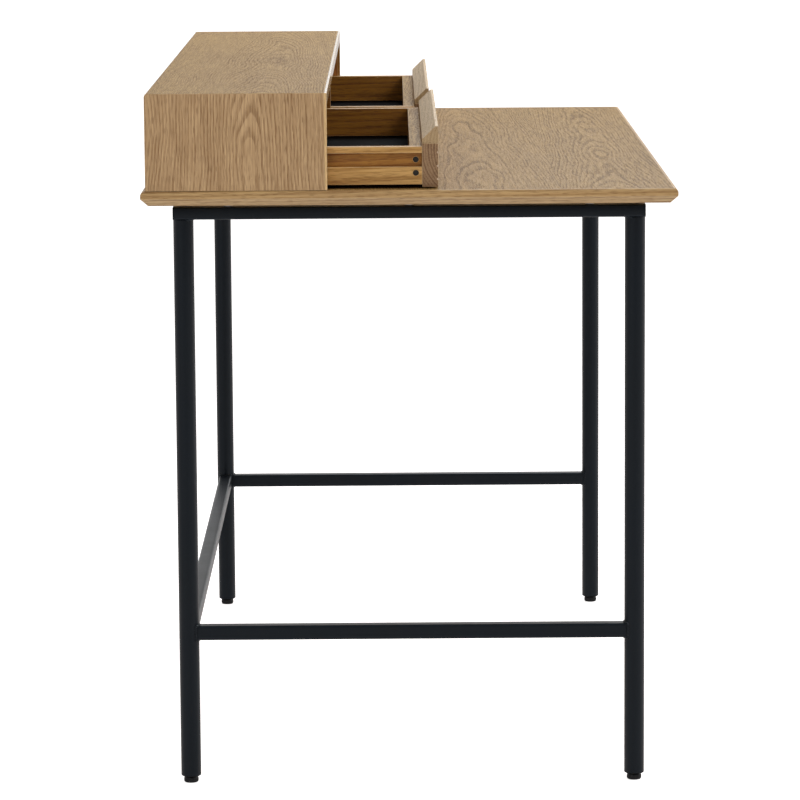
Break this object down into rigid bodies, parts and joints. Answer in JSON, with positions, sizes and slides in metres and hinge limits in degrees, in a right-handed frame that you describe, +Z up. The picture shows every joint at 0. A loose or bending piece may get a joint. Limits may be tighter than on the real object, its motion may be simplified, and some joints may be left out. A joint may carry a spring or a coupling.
{
  "type": "writing desk",
  "caption": "Oak writing desk with a low rear cabinet of inset drawers under an open shelf slot, on a black steel tube frame with levelling feet.",
  "frame": {"origin": "on the floor, under the middle of the desktop", "axes": "+Z up; +X along the length of the desktop, to the right of the person who sits at it; +Y from that person towards the cabinet at the rear"},
  "size_m": [1.3, 0.65, 0.868],
  "materials": {
    "desktop_oak": "matt lacquered oak, straight and cathedral grain",
    "cabinet_oak": "matt lacquered oak veneer with solid lippings",
    "front_board": "matt lacquered solid oak, end grain at its ends",
    "front_lipping": "pale sanded oak",
    "drawer_wood": "solid oak, matt",
    "drawer_bottom": "black faced board, matt",
    "frame_steel": "black powder coat, fine texture",
    "spacers": "zinc plated",
    "inserts": "black nylon",
    "feet": "black nylon",
    "screws": "black oxide"
  },
  "bodies": {
    "frame": {"desktop": "desktop_oak", "cabinet_left_side": "cabinet_oak", "cabinet_right_side": "cabinet_oak", "cabinet_top": "cabinet_oak", "cabinet_back": "cabinet_oak", "cabinet_divider": "cabinet_oak", "runner_left_outer": "drawer_wood", "runner_left_inner": "drawer_wood", "runner_right_inner": "drawer_wood", "runner_right_outer": "drawer_wood", "leg_front_left": "frame_steel", "leg_front_right": "frame_steel", "leg_rear_left": "frame_steel", "leg_rear_right": "frame_steel", "end_rail_left": "frame_steel", "end_rail_right": "frame_steel", "long_rail_front": "frame_steel", "long_rail_rear": "frame_steel", "end_stretcher_left": "frame_steel", "end_stretcher_right": "frame_steel", "rear_stretcher": "frame_steel", "leg_insert_front_left": "inserts", "leg_insert_front_right": "inserts", "leg_insert_rear_left": "inserts", "leg_insert_rear_right": "inserts", "spacer_left_front": "spacers", "spacer_left_middle": "spacers", "spacer_left_rear": "spacers", "spacer_right_front": "spacers", "spacer_right_middle": "spacers", "spacer_right_rear": "spacers"},
    "left_drawer": {"left_drawer_front": "front_board", "left_drawer_lipping": "front_lipping", "left_drawer_inner_front": "drawer_wood", "left_drawer_outer_side": "drawer_wood", "left_drawer_inner_side": "drawer_wood", "left_drawer_back": "drawer_wood", "left_drawer_bottom": "drawer_bottom", "left_outer_upper_screw": "screws", "left_outer_lower_screw": "screws", "left_inner_upper_screw": "screws", "left_inner_lower_screw": "screws"},
    "right_drawer": {"right_drawer_front": "front_board", "right_drawer_lipping": "front_lipping", "right_drawer_inner_front": "drawer_wood", "right_drawer_outer_side": "drawer_wood", "right_drawer_inner_side": "drawer_wood", "right_drawer_back": "drawer_wood", "right_drawer_bottom": "drawer_bottom", "right_outer_upper_screw": "screws", "right_outer_lower_screw": "screws", "right_inner_upper_screw": "screws", "right_inner_lower_screw": "screws"},
    "levelling_foot_front_left": {"foot_front_left": "feet"},
    "levelling_foot_front_right": {"foot_front_right": "feet"},
    "levelling_foot_rear_left": {"foot_rear_left": "feet"},
    "levelling_foot_rear_right": {"foot_rear_right": "feet"}
  },
  "joints": [
    {"name": "left_drawer_slide", "type": "slide", "parent": "frame", "child": "left_drawer", "axis": [0, -1, 0], "range_m": [-0.1345, 0.0155]},
    {"name": "right_drawer_slide", "type": "slide", "parent": "frame", "child": "right_drawer", "axis": [0, -1, 0], "range_m": [-0.129, 0.021]},
    {"name": "levelling_front_left", "type": "slide", "parent": "frame", "child": "levelling_foot_front_left", "axis": [0, 0, -1], "range_m": [0, 0.008]},
    {"name": "levelling_front_right", "type": "slide", "parent": "frame", "child": "levelling_foot_front_right", "axis": [0, 0, -1], "range_m": [0, 0.008]},
    {"name": "levelling_rear_left", "type": "slide", "parent": "frame", "child": "levelling_foot_rear_left", "axis": [0, 0, -1], "range_m": [0, 0.008]},
    {"name": "levelling_rear_right", "type": "slide", "parent": "frame", "child": "levelling_foot_rear_right", "axis": [0, 0, -1], "range_m": [0, 0.008]}
  ]
}
